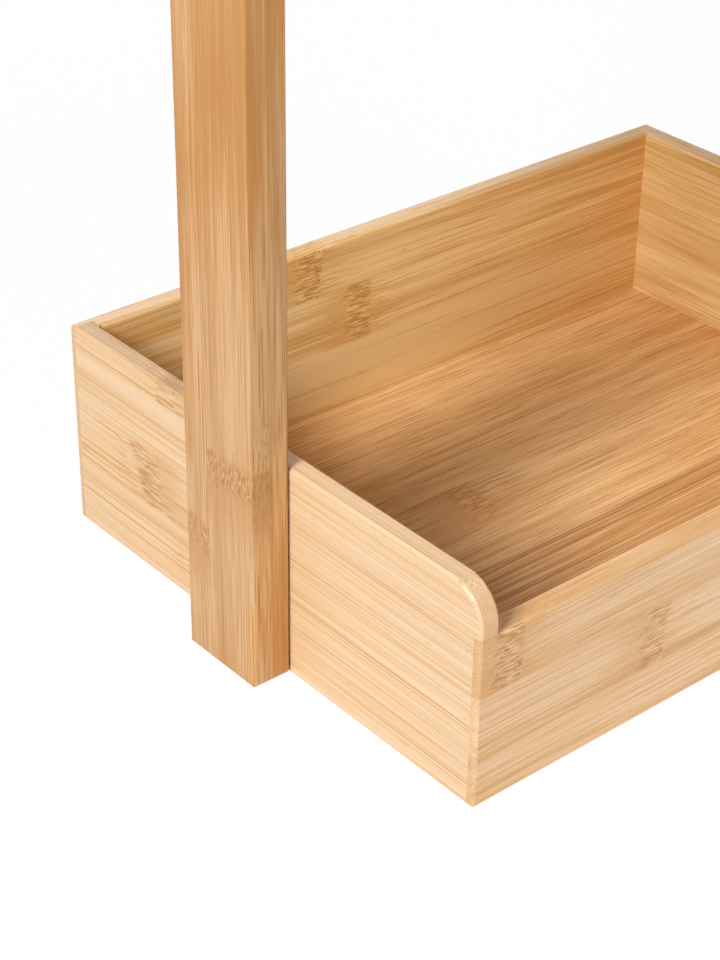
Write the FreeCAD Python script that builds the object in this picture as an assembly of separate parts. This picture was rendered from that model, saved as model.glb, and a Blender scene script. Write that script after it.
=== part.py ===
"""Bathroom shelf unit in laminated bamboo: three open trays carried between two flat posts.

Each tray is a glued and pinned box. Its front is low, and its ends run down to that front in a
round corner. Front and back lap over the ends of the end panels, so a thin strip of end grain
shows at each corner. The base board floats in a groove cut round the inside of the four walls.
The posts stand against the middle of the end panels and are held by connector bolts, put in from
inside the tray, that turn into threaded inserts in the posts.

Millimetres. +Z is up, the low fronts face -Y, and the origin is on the floor under the middle.
"""

import FreeCAD
import Part
import math
import os

from FreeCAD import Vector

# Tray, outside sizes
tray_width = 298.0
tray_depth = 220.0
tray_height = 82.0
wall = 8.0
corner_radius = 14.0
nose_straight = 3.0

# Corner lap and base board
lap = 3.0
base_thickness = 5.0
base_lift = 3.0
groove_depth = 4.0
base_gap = 0.5

# Stack of trays
tier_names = ["lower", "middle", "upper"]
tier_pitch = 339.0

# Posts
post_width = 36.0
post_thickness = 16.0
post_stop = 1.0

# Worked edges
tray_bevel = 1.0
lip_round = 1.5
post_bevel = 0.6
post_inner_bevel = 1.2

# Pins that hold the corner laps, cut from flat wire
pin_width = 0.95
pin_thickness = 0.65
pin_length = 18.0
pin_set = 0.2
pin_low = 13.0
pin_middle = 33.0
pin_below_top = 6.0

# Connector bolts and threaded inserts
bolt_diameter = 6.0
bolt_hole = 6.6
bolt_bite = 11.0
bolt_spacing = 34.0
head_diameter = 14.0
head_height = 2.2
head_taper = 1.0
socket_across = 4.0
socket_depth = 1.6
insert_diameter = 8.0
insert_flats = 10
insert_length = 12.0
insert_hole_spare = 0.5
fit_clearance = 0.05

# Places worked out from the sizes above
half_width = tray_width / 2
half_depth = tray_depth / 2
inner_half_width = half_width - wall
inner_half_depth = half_depth - wall
base_top = base_lift + base_thickness
lip_height = tray_height - corner_radius - nose_straight
unit_height = tier_pitch * (len(tier_names) - 1) + tray_height
bolt_middle = (base_top + tray_height) / 2
bolt_heights = [bolt_middle - bolt_spacing / 2, bolt_middle + bolt_spacing / 2]
sides = {"left": -1, "right": 1}
same = 1e-4


def block(x_limits, y_limits, z_limits):
    """Rectangular solid between two limits on each axis, given in either order."""
    low = Vector(min(x_limits), min(y_limits), min(z_limits))
    high = Vector(max(x_limits), max(y_limits), max(z_limits))
    size = high - low
    return Part.makeBox(size.x, size.y, size.z, low)


def joined(*solids):
    """One solid from several that meet, with no seams left between flush faces."""
    return solids[0].multiFuse(list(solids[1:])).removeSplitter()


def picked_edges(solid, wanted):
    return [edge for edge in solid.Edges if wanted(edge.BoundBox)]


def rounded(solid, radius, wanted):
    """The solid with a round on each edge that wanted(box of the edge) picks."""
    return solid.makeFillet(radius, picked_edges(solid, wanted))


def eased(solid, size, wanted):
    """The solid with a small sanded bevel on each edge that wanted(box of the edge) picks."""
    return solid.makeChamfer(size, picked_edges(solid, wanted))


def close(a, b):
    return abs(a - b) < same


def lies_at(low, high, place):
    """True where an edge's extent on one axis is the single value place."""
    return close(low, place) and close(high, place)


def rod(start, direction, length, diameter):
    return Part.makeCylinder(diameter / 2, length, start, direction)


def prism(start, direction, flats, corner_reach, length):
    """Straight solid along X with a regular many-sided section; one corner points up."""
    step = 360 / flats
    spins = [FreeCAD.Rotation(direction, step * number) for number in range(flats)]
    corners = [start + spin.multVec(Vector(0, 0, corner_reach)) for spin in spins]
    ring = Part.makePolygon([*corners, corners[0]])
    return Part.Face(ring).extrude(direction * length)


def flat_wire(start, direction, length, spare):
    """Straight length of the pins' wire along X, with spare on each of its four sides."""
    half_width_y = pin_width / 2 + spare
    half_width_z = pin_thickness / 2 + spare
    return block(
        (start.x, start.x + direction.x * length),
        (start.y - half_width_y, start.y + half_width_y),
        (start.z - half_width_z, start.z + half_width_z),
    )


def pin_places():
    """(start, direction) of each corner pin of a tray, sunk a little below the end panels."""
    centre_of_lap = (lap + wall) / 2
    rows = {
        -half_depth + centre_of_lap: lip_height,
        half_depth - centre_of_lap: tray_height,
    }
    places = []
    for side in sides.values():
        for y, top in rows.items():
            for z in (pin_low, pin_middle, top - pin_below_top):
                start = Vector(side * (half_width - pin_set), y, z)
                places.append((start, Vector(-side, 0, 0)))
    return places


def bolt_places(side):
    """Points on the inner face of one end panel where the bolt heads sit."""
    return [Vector(side * inner_half_width, 0, z) for z in bolt_heights]


def with_pin_holes(board):
    """The board with a hole for every pin that runs into it, open at the outer face."""
    holes = []
    for start, direction in pin_places():
        mouth = start - direction * pin_set
        holes.append(flat_wire(mouth, direction, pin_length + pin_set, fit_clearance))
    return board.cut(Part.makeCompound(holes))


def end_panel(side):
    """End wall. Its front edge is cut back below the lip, where the front laps over it."""
    outer = side * half_width
    inner = side * inner_half_width
    front = -half_depth
    arc_centre = Vector(outer, front + corner_radius, tray_height - corner_radius)
    arc_middle = arc_centre + Vector(0, -1, 1).normalize() * corner_radius
    arc_top = Vector(outer, front + corner_radius, tray_height)
    arc_foot = Vector(outer, front, tray_height - corner_radius)
    corners = [
        arc_foot,
        Vector(outer, front, lip_height),
        Vector(outer, front + lap, lip_height),
        Vector(outer, front + lap, 0),
        Vector(outer, inner_half_depth, 0),
        Vector(outer, inner_half_depth, tray_height),
        arc_top,
    ]
    nose = Part.Arc(arc_top, arc_middle, arc_foot).toShape()
    outline = Part.Wire([*Part.makePolygon(corners).Edges, nose])
    panel = Part.Face(outline).extrude(Vector(inner - outer, 0, 0))

    def rim_or_foot(edge):
        on_side = edge.XLength < same
        rim = edge.ZMin > lip_height - same and edge.ZMax > lip_height + same
        foot = lies_at(edge.ZMin, edge.ZMax, 0) and lies_at(edge.XMin, edge.XMax, outer)
        return on_side and (rim or foot)

    panel = eased(panel, tray_bevel, rim_or_foot)

    # The last stretch runs behind the back board, so only its outer edges are sanded.
    tail = block((outer, inner), (inner_half_depth, half_depth - lap), (0, tray_height))
    tail = eased(
        tail,
        tray_bevel,
        lambda edge: lies_at(edge.XMin, edge.XMax, outer) and edge.ZLength < same,
    )
    panel = joined(panel, tail)

    groove = block(
        (inner, inner + side * groove_depth),
        (-half_depth, half_depth),
        (base_lift, base_top),
    )
    bolt_holes = [
        rod(place, Vector(side, 0, 0), wall, bolt_hole) for place in bolt_places(side)
    ]
    panel = panel.cut(Part.makeCompound([groove, *bolt_holes]))
    return with_pin_holes(panel)


def lapped_board(facing, height, below_ends):
    """Front or back wall: a board between the ends with a thin tongue over each of their ends.

    facing is -1 for the front and 1 for the back. A front that stays below the ends has a fuller
    round on its top edges, which stops at the end panels. A back as high as the ends has the same
    sanded rim as they have, and the rim runs on round the outer corners.
    """
    outer = facing * half_depth
    inner = facing * inner_half_depth
    tongue_inner = facing * (half_depth - lap)
    board = block((-inner_half_width, inner_half_width), (outer, inner), (0, height))
    if below_ends:
        board = rounded(
            board,
            lip_round,
            lambda edge: lies_at(edge.ZMin, edge.ZMax, height) and edge.YLength < same,
        )
    tongues = [
        block((side * half_width, side * inner_half_width), (outer, tongue_inner), (0, height))
        for side in sides.values()
    ]
    board = joined(board, *tongues)

    def sanded(edge):
        on_outer = lies_at(edge.YMin, edge.YMax, outer)
        on_inner = lies_at(edge.YMin, edge.YMax, inner)
        on_end = any(lies_at(edge.XMin, edge.XMax, s * half_width) for s in sides.values())
        at_foot = lies_at(edge.ZMin, edge.ZMax, 0)
        at_top = lies_at(edge.ZMin, edge.ZMax, height)
        corner = on_outer and on_end
        foot = at_foot and (on_outer or on_end)
        rim = at_top and not below_ends and (on_outer or on_inner or on_end)
        return corner or foot or rim

    board = eased(board, tray_bevel, sanded)
    groove = block(
        (-inner_half_width, inner_half_width),
        (inner, inner + facing * groove_depth),
        (base_lift, base_top),
    )
    return with_pin_holes(board.cut(groove))


def base_board():
    """Floor of the tray, held in the grooves with a little room to swell."""
    reach = groove_depth - base_gap
    half_length = inner_half_width + reach
    half_breadth = inner_half_depth + reach
    return block(
        (-half_length, half_length),
        (-half_breadth, half_breadth),
        (base_lift, base_top),
    )


def tray_pins():
    """Headless pins through the end panels into the thick part of front and back."""
    return Part.makeCompound(
        [flat_wire(start, way, pin_length, 0) for start, way in pin_places()]
    )


def connector_bolt(place, side):
    """Bolt with a low tapered head and a hexagon socket, its head seated on the panel at place."""
    into_post = Vector(side, 0, 0)
    seat_radius = head_diameter / 2
    head = Part.makeCone(seat_radius, seat_radius - head_taper, head_height, place, -into_post)
    face = place - into_post * head_height
    shank = rod(place, into_post, wall + bolt_bite, bolt_diameter)
    corner_reach = socket_across / math.sqrt(3)
    socket = prism(face, into_post, 6, corner_reach, socket_depth)
    return joined(head, shank).cut(socket)


def tray_bolts():
    return Part.makeCompound(
        [connector_bolt(place, side) for side in sides.values() for place in bolt_places(side)]
    )


def insert_places(side):
    """Points on one post's inner face where the inserts are let in, over all tiers."""
    return [
        Vector(side * half_width, 0, tier * tier_pitch + z)
        for tier in range(len(tier_names))
        for z in bolt_heights
    ]


def post(side):
    """Flat upright with every edge eased and a blind hole for each insert.

    The upright edges next to the trays have a wider bevel, which leaves a thin shadow line.
    """
    inner = side * half_width
    outer = side * (half_width + post_thickness)
    upright = block(
        (inner, outer),
        (-post_width / 2, post_width / 2),
        (post_stop, unit_height - post_stop),
    )

    def next_to_trays(edge):
        return lies_at(edge.XMin, edge.XMax, inner) and edge.YLength < same

    def elsewhere(edge):
        return edge.ZLength < same or lies_at(edge.XMin, edge.XMax, outer)

    upright = eased(upright, post_inner_bevel, next_to_trays)
    upright = eased(upright, post_bevel, elsewhere)
    holes = [
        rod(
            place,
            Vector(side, 0, 0),
            insert_length + insert_hole_spare,
            insert_diameter + 2 * fit_clearance,
        )
        for place in insert_places(side)
    ]
    return upright.cut(Part.makeCompound(holes))


def post_inserts(side):
    """Threaded sleeves flush with the post's inner face, with flats to stop them from turning.

    The thread is a plain bore.
    """
    into_post = Vector(side, 0, 0)
    sleeves = []
    for place in insert_places(side):
        sleeve = prism(place, into_post, insert_flats, insert_diameter / 2, insert_length)
        bore = rod(place, into_post, insert_length, bolt_diameter + 2 * fit_clearance)
        sleeves.append(sleeve.cut(bore))
    return Part.makeCompound(sleeves)


def write(name, shape):
    shape.exportStep(os.path.join("parts", name + ".step"))
    print(f"{name}: {len(shape.Solids)} solid(s), {shape.Volume / 1000:.2f} cm3, valid {shape.isValid()}")


def main():
    os.makedirs("parts", exist_ok=True)
    tray = {
        "tray_front": lapped_board(-1, lip_height, below_ends=True),
        "tray_back": lapped_board(1, tray_height, below_ends=False),
        "tray_base": base_board(),
        "tray_pins": tray_pins(),
        "tray_bolts": tray_bolts(),
    }
    for side_name, side in sides.items():
        tray[f"tray_{side_name}_end"] = end_panel(side)
    for tier, tier_name in enumerate(tier_names):
        for piece_name, piece in tray.items():
            raised = piece.translated(Vector(0, 0, tier * tier_pitch))
            write(f"{tier_name}_{piece_name}", raised)
    for side_name, side in sides.items():
        write(f"{side_name}_post", post(side))
        write(f"{side_name}_post_inserts", post_inserts(side))


main()
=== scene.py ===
# %% [markdown]
# A bathroom shelf unit in laminated bamboo: open trays with a low front, one above the other, between two
# flat posts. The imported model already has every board, pin and bolt at its real size and place. This lesson
# gives each of them its finish, and adds the camera, the light and a plain floor.

import math
from typing import NamedTuple

import bpy
import numpy as np
from mathutils import Matrix, Vector

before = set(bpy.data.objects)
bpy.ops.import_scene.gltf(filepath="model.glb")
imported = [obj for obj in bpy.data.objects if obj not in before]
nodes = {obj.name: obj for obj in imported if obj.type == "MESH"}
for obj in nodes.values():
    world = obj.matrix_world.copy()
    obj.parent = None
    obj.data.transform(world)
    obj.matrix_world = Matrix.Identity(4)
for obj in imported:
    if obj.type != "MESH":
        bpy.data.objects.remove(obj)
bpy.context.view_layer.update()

# %% [markdown]
# The camera stands to the left of the front and looks down on the lowest tray. Its place, heading and focal
# length were found by fitting the tray's corners to the photograph by least squares, so they are written as
# angles and a place in metres. A camera's matrix has its right, up and backward axes as columns.

# %% Camera
camera_place = Vector((-0.5273, -0.4986, 0.4589))
camera_heading = math.radians(40.326)
camera_drop = math.radians(31.905)
camera_roll = math.radians(0.816)
focal_pixels = 2223.8
picture_width = 720
picture_height = 960
film_width = 36.0

forward = Vector((
    math.sin(camera_heading) * math.cos(camera_drop),
    math.cos(camera_heading) * math.cos(camera_drop),
    -math.sin(camera_drop),
))
level_right = Vector((math.cos(camera_heading), -math.sin(camera_heading), 0.0))
level_up = level_right.cross(forward)
right = level_right * math.cos(camera_roll) + level_up * math.sin(camera_roll)
up = level_up * math.cos(camera_roll) - level_right * math.sin(camera_roll)
axes = Matrix((right, up, -forward)).transposed()

camera_data = bpy.data.cameras.new("photo_camera")
camera_data.sensor_width = film_width
camera_data.lens = focal_pixels * film_width / max(picture_width, picture_height)
camera_data.clip_start = 0.01
camera_data.clip_end = 50.0
camera = bpy.data.objects.new("photo_camera", camera_data)
camera.matrix_world = Matrix.Translation(camera_place) @ axes.to_4x4()
bpy.context.scene.collection.objects.link(camera)
bpy.context.scene.camera = camera
print("lens:", round(camera_data.lens, 2), "mm")

# %% [markdown]
# Shader maths is easier to read as formulas than as a list of nodes and links. A Field wraps one output
# socket, and arithmetic on fields adds Math nodes behind the scenes.


# %% Formulas that turn into nodes
class Field:
    """One number that changes over a surface. Its owner is the tree of nodes that it is worked out in."""

    def __init__(self, owner, socket):
        self.owner = owner
        self.socket = socket

    def __add__(self, other):
        return self.owner.math("ADD", self, other)

    def __sub__(self, other):
        return self.owner.math("SUBTRACT", self, other)

    def __rsub__(self, other):
        return self.owner.math("SUBTRACT", other, self)

    def __mul__(self, other):
        return self.owner.math("MULTIPLY", self, other)

    def __truediv__(self, other):
        return self.owner.math("DIVIDE", self, other)

    def __rtruediv__(self, other):
        return self.owner.math("DIVIDE", other, self)

    def __abs__(self):
        return self.owner.math("ABSOLUTE", self)

    def __floor__(self):
        return self.owner.math("FLOOR", self)

    __radd__ = __add__
    __rmul__ = __mul__

    def rise(self, low, high):
        """0 below low, 1 above high, and a smooth step between. It falls where low is above high."""
        inputs = {"Value": self, "From Min": low, "From Max": high}
        made = self.owner.node("ShaderNodeMapRange", {"interpolation_type": "SMOOTHSTEP"}, inputs)
        return Field(self.owner, made.outputs["Result"])


# %% [markdown]
# Nodes adds to any tree of nodes, of a material or of the world. Its single node method makes any kind of
# node: first the settings, then the values or links of the sockets.


# %% A tree and its nodes
class Nodes:
    """One tree of nodes, and the ways to add to it."""

    def __init__(self, tree):
        self.tree = tree

    def node(self, kind, settings=None, inputs=None):
        """Adds a node, applies its settings, then fills or links its sockets."""
        made = self.tree.nodes.new(kind)
        for name, value in (settings or {}).items():
            if name == "stops":
                self.set_stops(made.color_ramp, value)
            else:
                setattr(made, name, value)
        for name, value in (inputs or {}).items():
            self.feed(made.inputs[name], value)
        return made

    def feed(self, socket, value):
        """Links a field or an output to a socket, or sets the socket to a plain value."""
        if isinstance(value, Field):
            value = value.socket
        if isinstance(value, bpy.types.NodeSocket):
            self.tree.links.new(value, socket)
        else:
            socket.default_value = value

    @staticmethod
    def set_stops(ramp, stops):
        """Gives a colour ramp its positions and colours."""
        while len(ramp.elements) < len(stops):
            ramp.elements.new(1.0)
        for element, (position, colour) in zip(ramp.elements, stops):
            element.position = position
            element.color = (*colour, 1.0)

    def math(self, operation, *values):
        """A field from one Math node."""
        made = self.node("ShaderNodeMath", {"operation": operation}, dict(enumerate(values)))
        return Field(self, made.outputs[0])

    def seen_rays(self):
        """1 on rays whose hit is seen as such: from the camera, in a mirror or through glass."""
        path = self.node("ShaderNodeLightPath").outputs
        relayed = self.math("MAXIMUM", path["Is Glossy Ray"], path["Is Transmission Ray"])
        return self.math("MAXIMUM", path["Is Camera Ray"], relayed)


# %% [markdown]
# A Finish owns one material. Its methods give the textures that a board needs, as fields.


# %% A material
class Finish(Nodes):
    """A material, and the textures for it."""

    def __init__(self, name):
        self.material = bpy.data.materials.new(name)
        self.material.use_nodes = True
        super().__init__(self.material.node_tree)
        self.surface = self.tree.nodes["Principled BSDF"]

    def place(self):
        """The three object coordinates of a point, in millimetres."""
        spot = self.node("ShaderNodeTexCoord").outputs["Object"]
        parts = self.node("ShaderNodeSeparateXYZ", None, {"Vector": spot})
        return {axis: Field(self, parts.outputs[axis.upper()]) * 1000.0 for axis in "xyz"}

    def facing(self, axis):
        """How squarely the surface faces along one axis, from 0 to 1."""
        normal = self.node("ShaderNodeNewGeometry").outputs["Normal"]
        parts = self.node("ShaderNodeSeparateXYZ", None, {"Vector": normal})
        return abs(Field(self, parts.outputs[axis.upper()]))

    def vector(self, x, y, z):
        return self.node("ShaderNodeCombineXYZ", None, {"X": x, "Y": y, "Z": z}).outputs["Vector"]

    def noise(self, x, y, z, detail=1.0, roughness=0.5, distortion=0.0):
        """Smooth noise with about one unit between its bumps, 0.5 on average."""
        inputs = {"Vector": self.vector(x, y, z), "Scale": 1.0, "Detail": detail, "Roughness": roughness}
        inputs["Distortion"] = distortion
        return Field(self, self.node("ShaderNodeTexNoise", None, inputs).outputs["Fac"])

    def cells(self, x, y, z):
        """Distance to the nearest of scattered points, about one unit apart."""
        inputs = {"Vector": self.vector(x, y, z), "Scale": 1.0}
        return Field(self, self.node("ShaderNodeTexVoronoi", None, inputs).outputs["Distance"])

    def chances(self, number, seed):
        """Three even chances from 0 to 1 that stay the same for one whole number."""
        inputs = {"Vector": self.vector(number + 0.5, seed, 0.0)}
        drawn = self.node("ShaderNodeTexWhiteNoise", {"noise_dimensions": "2D"}, inputs).outputs["Color"]
        split = self.node("ShaderNodeSeparateColor", None, {"Color": drawn})
        return [Field(self, split.outputs[part]) for part in ("Red", "Green", "Blue")]

    def ramp(self, stops, share):
        return self.node("ShaderNodeValToRGB", {"stops": stops}, {"Fac": share}).outputs["Color"]

    def blend(self, below, above, share):
        """The colour below, covered by the colour above as far as share says."""
        made = self.node("ShaderNodeMix", {"data_type": "RGBA"}, {0: share, 6: below, 7: above})
        return made.outputs[2]


# %% [markdown]
# Laminated bamboo is made of flat strips, glued edge to edge. A strip is a slice of the cane's wall: long
# fibre bundles in a paler ground, and now and then a knuckle, where the cane had a joint and the fibres curl.
# A picture of such a board would only fit one face, so the colour is a function of all three coordinates
# instead: u runs along the fibres, v across the strips, and w through the board. The same formula then gives
# long lines on the faces, finer lines on the edges and dots on the end grain.
#
# What makes one strip differ from the next is a short record, so that the strips of the lowest tray can be
# given the shades and knuckles that show on them, some shades being painted light and shade, and all others
# can be drawn by chance.


# %% Boards and their strips
class Strip(NamedTuple):
    """How one strip differs from its board, and the knuckle in it."""

    # in the lowest tray some shades are painted light and shade, where light falls unevenly in the tray
    shade: float = 0.0  # 0.1 is plainly darker
    # in the lowest tray partly painted light and shade: lighter or darker where light falls unevenly along a
    # board
    drift_and_painted_light: float = 0.0  # shade gained in 100 millimetres along the strip
    place: float = 0.0  # of the knuckle, in millimetres along the strip
    lean: float = 0.0  # of the knuckle, in millimetres along for each millimetre across
    force: float = 0.0  # 0 is no knuckle, 1 a strong one
    holes: float = 0.0  # how dark the fine holes in it are
    bundles: float = 0.0  # how dark the thick fibre bundles in it are


class Board(NamedTuple):
    """What the strips of one board share. Sizes are in millimetres."""

    colour: tuple
    fibre: tuple  # what a fibre line leaves of red, green and blue
    axes: str  # along the fibres, across the strips and through the board
    seam: float  # where strip 0 begins
    strips: dict
    edge: tuple  # colour of the planed edges
    end: tuple  # colour of the end grain
    wide: float = 23.0  # of one strip
    run: float = 40.0  # length of the finer streaks
    contrast: float = 1.0  # of the grain
    bands: float = 1.0  # strength of the broad brown bands
    crisp: float = 1.0  # strength of the crisp lines
    # painted shade: a face darkens towards both ends of its board, where the tray's corners lie in shade
    painted_corner_shade: float = 0.0  # shade that a face gains 100 millimetres from the board's middle
    knot: float = 1.0  # size of the knuckles
    dash: float = 7.0  # length of the dashes in them
    spacing: float = 0.0  # between knuckles of one strip, where they come back
    layer: float = 0.0  # where two glued layers meet


def drawn_strips(chance, numbers, reach):
    """Strips with knuckles in about half of them, up to reach to either side."""
    strips = {}
    for number in numbers:
        force = chance.uniform(0.5, 0.95) if chance.random() < 0.5 else 0.0
        strips[number] = Strip(
            shade=chance.normal(0.0, 0.05),
            drift_and_painted_light=chance.normal(0.0, 0.03),
            place=chance.uniform(-reach, reach),
            lean=chance.uniform(-0.35, 0.35),
            force=force,
            holes=chance.uniform(0.0, 0.6),
        )
    return strips


def picked(chosen, strips, what):
    """The value called what of the strip that a point is in, and 0 where no such strip is listed."""
    total = 0.0
    for number, strip in strips.items():
        value = float(getattr(strip, what))
        if value:
            total = total + chosen[number] * value
    return total


# %% [markdown]
# Three layers of noise, stretched along u, give the fibres: broad bands that are brown rather than golden,
# fine streaks, and the fibre bundles themselves, which are crisp lines and go through a steep step. The wider
# a layer is, the longer it is too.


# %% Fibres
class Fibres(NamedTuple):
    """Broad bands and fine streaks, both 0 on average, and crisp lines from 0 to 1."""

    broad: Field
    fine: Field
    lines: Field


def fibres(finish, u, v, w, run):
    """The fibres at a point. run is the length of the fine streaks."""
    bundle = finish.noise(u / (run * 1.2), v / 0.38, w / 0.38).rise(0.55, 0.62)
    bold = finish.noise(u / (run * 2.0), v / 3.0, w / 3.0).rise(0.25, 0.65) * 0.6 + 0.4
    return Fibres(
        broad=finish.noise(u / (run * 6.0), v / 10.0, w / 10.0, detail=2.0, roughness=0.65) - 0.5,
        fine=finish.noise(u / run, v / 0.8, w / 0.8, detail=1.0, roughness=0.8) - 0.5,
        lines=bundle * bold,
    )


# %% [markdown]
# At a knuckle the bundles bend aside and cross, so the cut face shows pale and dark dashes on brown, with an
# amber cloud that fades out along the fibres. They stop short at the upper edge and grow sparser towards the
# lower one.


# %% Knuckles
class Knuckle(NamedTuple):
    """Fields of one knuckle, and the distance along the strip to its middle line."""

    band: Field
    stain: Field
    cloud: Field
    dashes: Field
    short: Field
    holes: Field
    reach: Field


def knuckle(finish, u, v, w, chosen, board, middle):
    """Marks round the knuckle of the strip that a point is in.

    reach is the distance along the strip from the knuckle's leaning middle line, made ragged by noise.
    middle is the distance across the strip from its own middle. Where the board gives a spacing, the knuckle
    comes back at that distance, as it does on a long piece of cane.
    """
    ragged = finish.noise(u / 9.0, v / 1.3, w / 1.3, detail=2.0) * 4.0 - 2.0
    place = picked(chosen, board.strips, "place") + picked(chosen, board.strips, "lean") * middle
    reach = u - place + ragged
    if board.spacing:
        reach = finish.math("WRAP", reach, -board.spacing / 2, board.spacing / 2)
    force = picked(chosen, board.strips, "force")
    near = reach / board.knot
    band = near.rise(6.0, 4.5) * near.rise(-14.0, -1.0) * force
    holes = finish.cells(u / 2.6, v / 2.2, w / 2.2).rise(0.2, 0.1) * picked(chosen, board.strips, "holes")
    return Knuckle(
        band=band,
        stain=near.rise(8.0, 3.0) * near.rise(-30.0, -4.0) * force,
        cloud=abs(reach).rise(32.0, 3.0) * force,
        dashes=finish.noise(u / board.dash, v / 0.5, w / 0.5, distortion=0.4),
        short=finish.noise(u / 14.0, v / 0.8, w / 0.8, detail=2.0, distortion=0.3),
        holes=holes * band,
        reach=reach,
    )


# %% [markdown]
# A tone from 0, the palest ground, to 1, the darkest bundle, goes through a colour ramp. A darker tone is
# also more golden, because a fibre line takes most of the blue and little of the red. Marks are laid over the
# ramp's colour. Each is a tint: what it leaves of the board's red, green and blue.


# %% Tones and tints
band_tint = (0.78, 0.66, 0.54)
bundle_tint = (0.42, 0.30, 0.20)
stain_tint = (0.84, 0.71, 0.55)
amber_tint = (0.90, 0.74, 0.50)
pale_tint = (1.08, 1.08, 1.05)
dark_tint = (0.58, 0.37, 0.14)
hole_tint = (0.28, 0.18, 0.11)


def shades(colour, fibre):
    """Ramp stops from the palest ground to the darkest bundle, each a power of the fibre's factors away."""
    powers = {0.0: -0.4, 0.36: 0.0, 0.72: 1.0, 1.0: 2.0}
    return [
        (position, tuple(np.clip(np.multiply(colour, np.power(fibre, power)), 0.0, 1.0)))
        for position, power in powers.items()
    ]


def toned(colour, tint):
    """The colour times the tint, as a socket value."""
    return (*np.clip(np.multiply(colour, tint), 0.0, 1.0), 1.0)


def with_knuckle(finish, board, colour, mark, edge):
    """The colour with a brown stain, amber streaks, pale and dark dashes and fine holes laid over."""
    amber = mark.cloud * mark.short.rise(0.46, 0.60) * 0.5
    sparse = (1.0 - mark.band) * 0.25
    plain = 1.0 - edge * 0.6
    pale = (mark.dashes - sparse).rise(0.52, 0.59) * plain
    dark = (mark.dashes + sparse).rise(0.51, 0.44) * plain
    colour = finish.blend(colour, toned(board.colour, stain_tint), mark.stain * 0.6)
    colour = finish.blend(colour, toned(board.colour, amber_tint), amber)
    colour = finish.blend(colour, toned(board.colour, pale_tint), pale * 0.7)
    colour = finish.blend(colour, toned(board.colour, dark_tint), dark * 0.7)
    return finish.blend(colour, toned(board.colour, hole_tint), mark.holes * (1.0 - edge))


print("stops in a ramp:", len(shades(band_tint, stain_tint)))

# %% [markdown]
# The finish of a board puts these together. Faces, planed edges and end grain have ramps of their own, and
# the way that the surface faces tells which of them a point is on. A wipe of oil leaves the wood half matt,
# with the fine streaks a little rougher, and the bundles can just be felt, so a weak bump follows them.


# %% Laminated bamboo
inner_layer_start = 10.0  # strips of a second, inner layer count from here
strip_shift = 300.0  # how far apart the patterns of two strips may lie
seed_shift = 37.0  # and of two boards whose seeds are one apart
shade_spread = 0.06  # how far chance may shade a strip
lean_spread = 0.016  # and lean its fibres
ground_tone = 0.32
end_ground_tone = 0.16
cloud_shade = 0.12  # what the cloud round a knuckle adds


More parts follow.
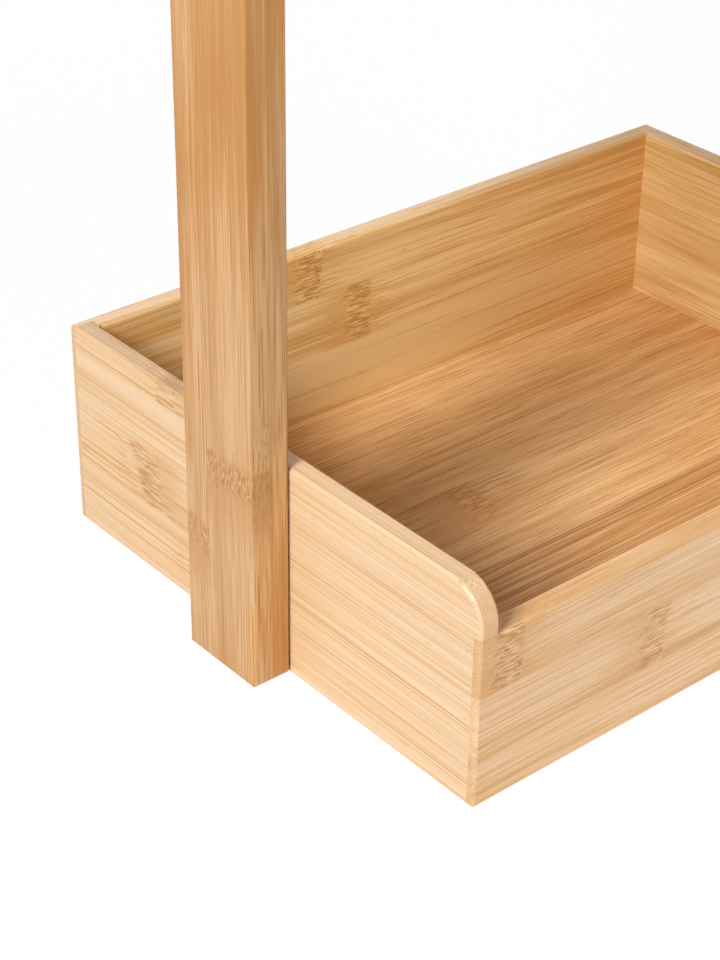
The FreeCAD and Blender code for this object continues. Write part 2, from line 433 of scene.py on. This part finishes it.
def bamboo(name, board, lift=0.0, seed=0.0):
    """The material of one board. lift is the height of the tray that holds it."""
    finish = Finish(name)
    spot = finish.place()
    along, over, through = board.axes
    u = spot[along]
    v = spot[over] - (board.seam + (lift if over == "z" else 0.0))
    w = spot[through]

    # Which strip a point is in, and how far it is from the strip's middle.
    number = math.floor(v / board.wide)
    middle = v - (number + 0.5) * board.wide
    if board.layer:
        number = number + finish.math("LESS_THAN", abs(w), board.layer) * inner_layer_start
    chosen = {key: finish.math("COMPARE", number, float(key), 0.5) for key in board.strips}
    shade_chance, lean_chance, shift_chance = finish.chances(number, seed)

    # Fibres run nearly straight, each strip's leaning by up to half a degree, and curl at a knuckle.
    shift = shift_chance * strip_shift + seed * seed_shift
    across = v + u * (lean_chance - 0.5) * lean_spread + finish.noise(u / 70.0, shift, 0.0)
    deep = w + shift
    mark = knuckle(finish, u, across, deep, chosen, board, middle)
    curl = finish.noise(u / 11.0, across / 5.0, deep / 5.0) - 0.5
    wood = fibres(finish, u, across + curl * mark.cloud * 3.5, deep, board.run)

    # The tone: the strip's shade and drift, in the lowest tray partly painted light and shade, the grain, and
    # a fine dark line where two strips meet.
    shade = picked(chosen, board.strips, "shade") + (shade_chance - 0.5) * shade_spread
    shade = shade + picked(chosen, board.strips, "drift_and_painted_light") * u / 100.0 + mark.cloud * cloud_shade
    grain = wood.broad * (0.9 * board.bands) + wood.fine * 0.9 + wood.lines * (0.7 * board.crisp) - 0.10
    ruffled = (mark.short - 0.5) * 1.2 * mark.cloud
    seam_line = abs(middle).rise(board.wide / 2 - 0.35, board.wide / 2 - 0.1)
    tone = ground_tone + shade + (grain + ruffled) * board.contrast + seam_line * 0.1
    if board.spacing:
        tone = tone + abs(mark.reach) * (2.3 / board.spacing) - 0.44

    # Faces and planed edges, with brown bands, thick bundles and the knuckle over them.
    edge = finish.facing(over).rise(0.55, 0.95)
    # Painted shade on the faces, not on the planed edges: darker towards both ends of the board, at the
    # tray's corners.
    painted_corner_shade = u * u * (board.painted_corner_shade / 100.0 ** 2)
    face_colour = finish.ramp(shades(board.colour, board.fibre), tone + painted_corner_shade)
    edge_colour = finish.ramp(shades(board.edge, board.fibre), tone)
    colour = finish.blend(face_colour, edge_colour, edge)
    bands = wood.broad.rise(-0.05, 0.25) * (0.45 * board.bands)
    colour = finish.blend(colour, toned(board.colour, band_tint), bands)
    bundles = picked(chosen, board.strips, "bundles")
    if bundles:
        thick = finish.noise(u / (board.run * 6.0), across / 1.3, deep / 1.3, detail=0.0).rise(0.55, 0.63)
        colour = finish.blend(colour, toned(board.colour, bundle_tint), thick * bundles)
    colour = with_knuckle(finish, board, colour, mark, edge)

    # End grain: the same bundles, cut across.
    dots = finish.cells(v / 0.6 + deep * 0.6, deep / 0.6, 0.0).rise(0.55, 0.2)
    end_tone = end_ground_tone + shade + mark.cloud * cloud_shade
    end_tone = end_tone + dots * 0.44 + wood.broad + wood.fine * 0.6
    end_colour = finish.ramp(shades(board.end, board.fibre), end_tone)
    colour = finish.blend(colour, end_colour, finish.facing(along).rise(0.45, 0.85))

    finish.feed(finish.surface.inputs["Base Color"], colour)
    finish.feed(finish.surface.inputs["Roughness"], 0.46 + wood.fine * 0.3)
    height = wood.fine * 2.0 - wood.lines * 0.3 + mark.band * mark.dashes
    bump = finish.node("ShaderNodeBump", None, {"Strength": 0.08, "Distance": 0.0002, "Height": height})
    finish.feed(finish.surface.inputs["Normal"], bump.outputs["Normal"])
    finish.surface.inputs["Specular IOR Level"].default_value = 0.4
    return finish.material


def dress(node, material):
    """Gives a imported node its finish, in every material slot that it has."""
    for slot in nodes[node].material_slots:
        slot.material = material


# %% [markdown]
# The lowest tray is the one in the picture, so its strips are listed with the shades and knuckles that show
# there. Each list counts strips from a seam whose place is given in millimetres in the tray's own frame. The
# boards are of one kind of cane, and their colours differ partly by the cane and partly as painted light:
# the left end, in the strongest light, is written darker than the front and the back, which get less. The
# front and the left end are straw-coloured, the others more golden. Most planed edges are paler than the
# faces, and sawn ends browner.

# %% Boards of the lowest tray
straw = (0.586, 0.404, 0.232)
flax = (0.708, 0.473, 0.266)
wheat = (0.705, 0.472, 0.210)
# honey, of the back, is written paler than the cane as painted light for its dimly lit inner face
honey = (0.893, 0.620, 0.280)
caramel = (0.762, 0.462, 0.208)
planed = (0.700, 0.481, 0.273)
planed_pale = (0.790, 0.543, 0.307)
# planed_gold, the back's rim, is written brighter as painted light against the shadow of the tray above
planed_gold = (0.820, 0.555, 0.300)
sawn = (0.630, 0.381, 0.187)
sawn_brown = (0.490, 0.300, 0.155)
sawn_pale = (0.545, 0.368, 0.212)
golden_fibre = (0.90, 0.78, 0.58)
amber_fibre = (0.87, 0.74, 0.56)
brown_fibre = (0.80, 0.70, 0.58)

lowest_boards = {
    "left_end": Board(straw, golden_fibre, "yzx", 5.0, {
        0: Strip(shade=0.02, drift_and_painted_light=0.05, place=33.0, force=0.7),
        1: Strip(shade=0.08, drift_and_painted_light=0.10, place=64.0, lean=0.39, force=1.3, holes=0.15),
        2: Strip(shade=0.0, drift_and_painted_light=0.05),
        3: Strip(shade=0.05, drift_and_painted_light=0.05, place=50.0, force=0.95),
    }, edge=planed, end=sawn, run=120.0, contrast=1.25, bands=0.5, crisp=1.2, knot=1.2, dash=9.0),
    "right_end": Board(wheat, golden_fibre, "yzx", 9.0, {
        0: Strip(shade=-0.08, place=-50.0, lean=0.2, force=0.7),
        1: Strip(shade=0.06),
        # painted shade: the upper strips are darker, as the wall's top gets less light thrown back by the
        # base
        2: Strip(shade=0.36),
        3: Strip(shade=0.16),
    }, edge=planed_pale, end=sawn, contrast=1.7, bands=1.4, crisp=0.9),
    "front": Board(flax, golden_fibre, "xzy", 20.2, {
        -1: Strip(shade=0.12, drift_and_painted_light=-0.15),
        0: Strip(shade=0.0, drift_and_painted_light=-0.08, place=-70.0, lean=0.1, force=0.95, holes=0.4),
        1: Strip(shade=0.04, drift_and_painted_light=-0.12, place=-136.0, force=1.05, holes=1.0),
    }, edge=planed_pale, end=sawn_pale, run=50.0, contrast=1.1, bands=1.7, crisp=1.2, dash=6.0),
    # Painted light: the back's lowest strip is paler where the base throws light on it.
    "back": Board(honey, amber_fibre, "xzy", 11.0, {
        0: Strip(shade=-0.22, drift_and_painted_light=0.05),
        1: Strip(shade=-0.05, drift_and_painted_light=0.05, place=-19.0, force=1.3, holes=0.3),
        2: Strip(shade=-0.02, drift_and_painted_light=0.05, place=-44.0, lean=0.1, force=1.3, holes=0.8),
    }, edge=planed_gold, end=sawn_brown, wide=25.0, run=60.0, contrast=1.6, bands=1.3, crisp=0.7, painted_corner_shade=0.27),
    # Painted light and shade: some base shades and drifts make it darker along the front lip, towards the
    # left end and in the far right corner, and lighter where the left lamp's light falls between the shadows.
    "base": Board(caramel, brown_fibre, "xyz", 2.5, {
        -5: Strip(shade=0.50, bundles=0.6),
        -4: Strip(shade=0.50, bundles=0.6),
        -3: Strip(shade=0.50, bundles=0.6),
        -2: Strip(shade=0.44, bundles=0.75),
        -1: Strip(shade=0.0, drift_and_painted_light=-0.07, place=60.0, lean=0.2, force=0.35, bundles=0.25),
        0: Strip(shade=-0.04, drift_and_painted_light=-0.03, place=-35.5, lean=0.1, force=1.1, holes=0.3),
        1: Strip(shade=-0.14, place=-60.7, lean=0.2, force=0.4),
        2: Strip(shade=0.04),
        3: Strip(shade=-0.13, drift_and_painted_light=0.12),
        4: Strip(shade=0.12, drift_and_painted_light=-0.15),
    }, edge=caramel, end=sawn, run=35.0, contrast=1.5, crisp=1.3, painted_corner_shade=0.22),
}

# %% [markdown]
# The other trays are made of the same boards with other strips, drawn by chance.

# %% Finishes of the trays
tray_names = ["lower", "middle", "upper"]
tray_pitch = 339.0
chance_reach = 105.0

for level, tray in enumerate(tray_names):
    for order, (board_name, board) in enumerate(lowest_boards.items()):
        if level > 0:
            chance = np.random.default_rng([level, order])
            board = board._replace(strips=drawn_strips(chance, range(-5, 5), chance_reach))
        finish = bamboo(f"{tray}_{board_name}", board, lift=level * tray_pitch, seed=level + 0.1 * order)
        dress(f"{tray}_tray_{board_name}", finish)
print("board finishes:", len(tray_names) * len(lowest_boards))

# %% [markdown]
# A post is glued up from two layers, so its narrow side shows two bands of edge grain. Its knuckles come back
# along its length as they did on the cane, and it darkens from each of them to the middle of the next
# stretch. Strips of the inner layer count from 10.

# %% Posts
toffee = (0.465, 0.271, 0.117)
toffee_edge = (0.568, 0.335, 0.144)
left_post = Board(toffee, golden_fibre, "zyx", 5.5, {
    -1: Strip(shade=0.04, place=80.0, force=1.0),
    0: Strip(place=51.0, lean=0.1, force=0.9, holes=0.4),
    9: Strip(shade=0.08, place=130.0),
    10: Strip(place=-40.0, force=0.7),
}, edge=toffee_edge, end=sawn_brown, wide=24.0, run=40.0, contrast=1.3, bands=1.6, crisp=2.5, dash=3.0,
    spacing=265.0, layer=157.0)
post_chance = np.random.default_rng(7)
post_reach = 130.0
posts = {
    "left": left_post,
    "right": left_post._replace(seam=-4.0, strips=drawn_strips(post_chance, [-1, 0, 9, 10], post_reach)),
}
for side, board in posts.items():
    dress(f"{side}_post", bamboo(f"{side}_post", board, seed=9.0 + board.seam))
print("post finishes:", len(posts))

# %% [markdown]
# The bolts and inserts are plated metal, which needs little more than a grey and some roughness that changes
# from place to place. The pins have a brown coat, so that they hardly show in the wood.


# %% Metal
def metal(name, colour, roughness, metallic=1.0):
    """Plated or coated metal with cloudy roughness."""
    finish = Finish(name)
    spot = finish.place()
    cloud = finish.noise(spot["x"] / 2.0, spot["y"] / 2.0, spot["z"] / 2.0, detail=3.0)
    finish.surface.inputs["Base Color"].default_value = (*colour, 1.0)
    finish.surface.inputs["Metallic"].default_value = metallic
    finish.feed(finish.surface.inputs["Roughness"], roughness + (cloud - 0.5) * 0.2)
    return finish.material


pin_finish = metal("pin_coat", colour=(0.62, 0.41, 0.23), roughness=0.6, metallic=0.0)
bolt_finish = metal("bolt_zinc", colour=(0.55, 0.55, 0.53), roughness=0.32)
insert_finish = metal("insert_zinc", colour=(0.50, 0.51, 0.52), roughness=0.45)
for tray in tray_names:
    dress(f"{tray}_tray_pins", pin_finish)
    dress(f"{tray}_tray_bolts", bolt_finish)
for side in posts:
    dress(f"{side}_post_inserts", insert_finish)
print("metal finishes:", [finish.name for finish in (pin_finish, bolt_finish, insert_finish)])

# %% [markdown]
# The light comes mostly from lamps, so the sky is dim: an even part, plus the direction times a slope that
# makes it a little brighter at the front left. Rays that come straight from the camera, or by way of a mirror
# or glass, see plain white instead.

# %% World
sky_even = 0.11
sky_slope = (-0.04, -0.04, 0.0)
world = bpy.data.worlds.new("studio")
bpy.context.scene.world = world
world.use_nodes = True
sky = Nodes(world.node_tree)
background = sky.tree.nodes["Background"]
background.inputs["Color"].default_value = (1.0, 1.0, 1.0, 1.0)

direction = sky.node("ShaderNodeTexCoord").outputs["Generated"]
tilt = sky.node("ShaderNodeVectorMath", {"operation": "DOT_PRODUCT"}, {0: direction, 1: sky_slope})
dim = Field(sky, tilt.outputs["Value"]) + sky_even
strength = sky.node("ShaderNodeMix", None, {0: sky.seen_rays(), 2: dim, 3: 1.0})
sky.feed(background.inputs["Strength"], strength.outputs[0])
print("sky:", sky_even, "and a slope of", sky_slope)

# %% [markdown]
# The shadows in the tray tell where the lamps stand. A large soft box at the left, about 33 degrees up,
# throws the shadows of the end panel and of the post over the base. A weaker one hangs over the front. A low
# white card in front lights the front board and the back's inner face, and another one stands behind the
# unit. The wider a lamp is for its distance, the softer is the edge of its shadow.


# %% Lamps
def lamp(name, place, aim, width, height, power):
    """A soft lamp with an oval face, turned towards a point."""
    data = bpy.data.lights.new(name, "AREA")
    data.shape = "ELLIPSE"
    data.size = width
    data.size_y = height
    data.energy = power
    made = bpy.data.objects.new(name, data)
    made.location = place
    made.rotation_mode = "QUATERNION"
    made.rotation_quaternion = (Vector(place) - Vector(aim)).to_track_quat("Z", "Y")
    bpy.context.scene.collection.objects.link(made)
    print(name, power, "watts")


lamp("left_box", place=(-4.07, -1.02, 2.92), aim=(0.0, 0.0, 0.2), width=1.8, height=1.8, power=305.0)
lamp("overhead_box", place=(0.0, -1.07, 3.05), aim=(0.0, -0.1, 0.1), width=0.9, height=0.9, power=19.0)
lamp("front_card", place=(0.0, -2.4, 0.35), aim=(0.0, 0.0, 0.05), width=1.8, height=0.4, power=11.0)
lamp("back_card", place=(1.0, 2.4, 0.9), aim=(0.0, 0.0, 0.3), width=1.8, height=0.8, power=10.0)

# %% [markdown]
# The floor is plain and white, as the ground in the picture is. On rays that are seen, nearly all of its
# light is its own, so that it stays white and takes only a trace of the unit's shadow. On all other rays it
# is matt paint, which throws light back on the boards.

# %% Floor
floor_reach = 6.0
floor_glow = 0.96
corners = [(x * floor_reach, y * floor_reach, 0.0) for x, y in ((-1, -1), (1, -1), (1, 1), (-1, 1))]
floor_mesh = bpy.data.meshes.new("floor")
floor_mesh.from_pydata(corners, [], [(0, 1, 2, 3)])
floor = bpy.data.objects.new("floor", floor_mesh)
bpy.context.scene.collection.objects.link(floor)
paint = Finish("floor_paint")
paint.surface.inputs["Base Color"].default_value = (0.95, 0.95, 0.95, 1.0)
paint.surface.inputs["Roughness"].default_value = 0.9
paint.surface.inputs["Specular IOR Level"].default_value = 0.0
glow = paint.node("ShaderNodeEmission", None, {"Color": (1.0, 1.0, 1.0, 1.0), "Strength": 1.0})
share = paint.seen_rays() * floor_glow
mixed = paint.node("ShaderNodeMixShader", None, {0: share, 1: paint.surface.outputs[0], 2: glow.outputs[0]})
paint.feed(paint.tree.nodes["Material Output"].inputs["Surface"], mixed.outputs[0])
floor_mesh.materials.append(paint.material)
print("floor:", 2 * floor_reach, "metres wide")

# %% [markdown]
# The plain view keeps colours as they are written.

# %% Colour settings
bpy.context.scene.view_settings.view_transform = "Standard"
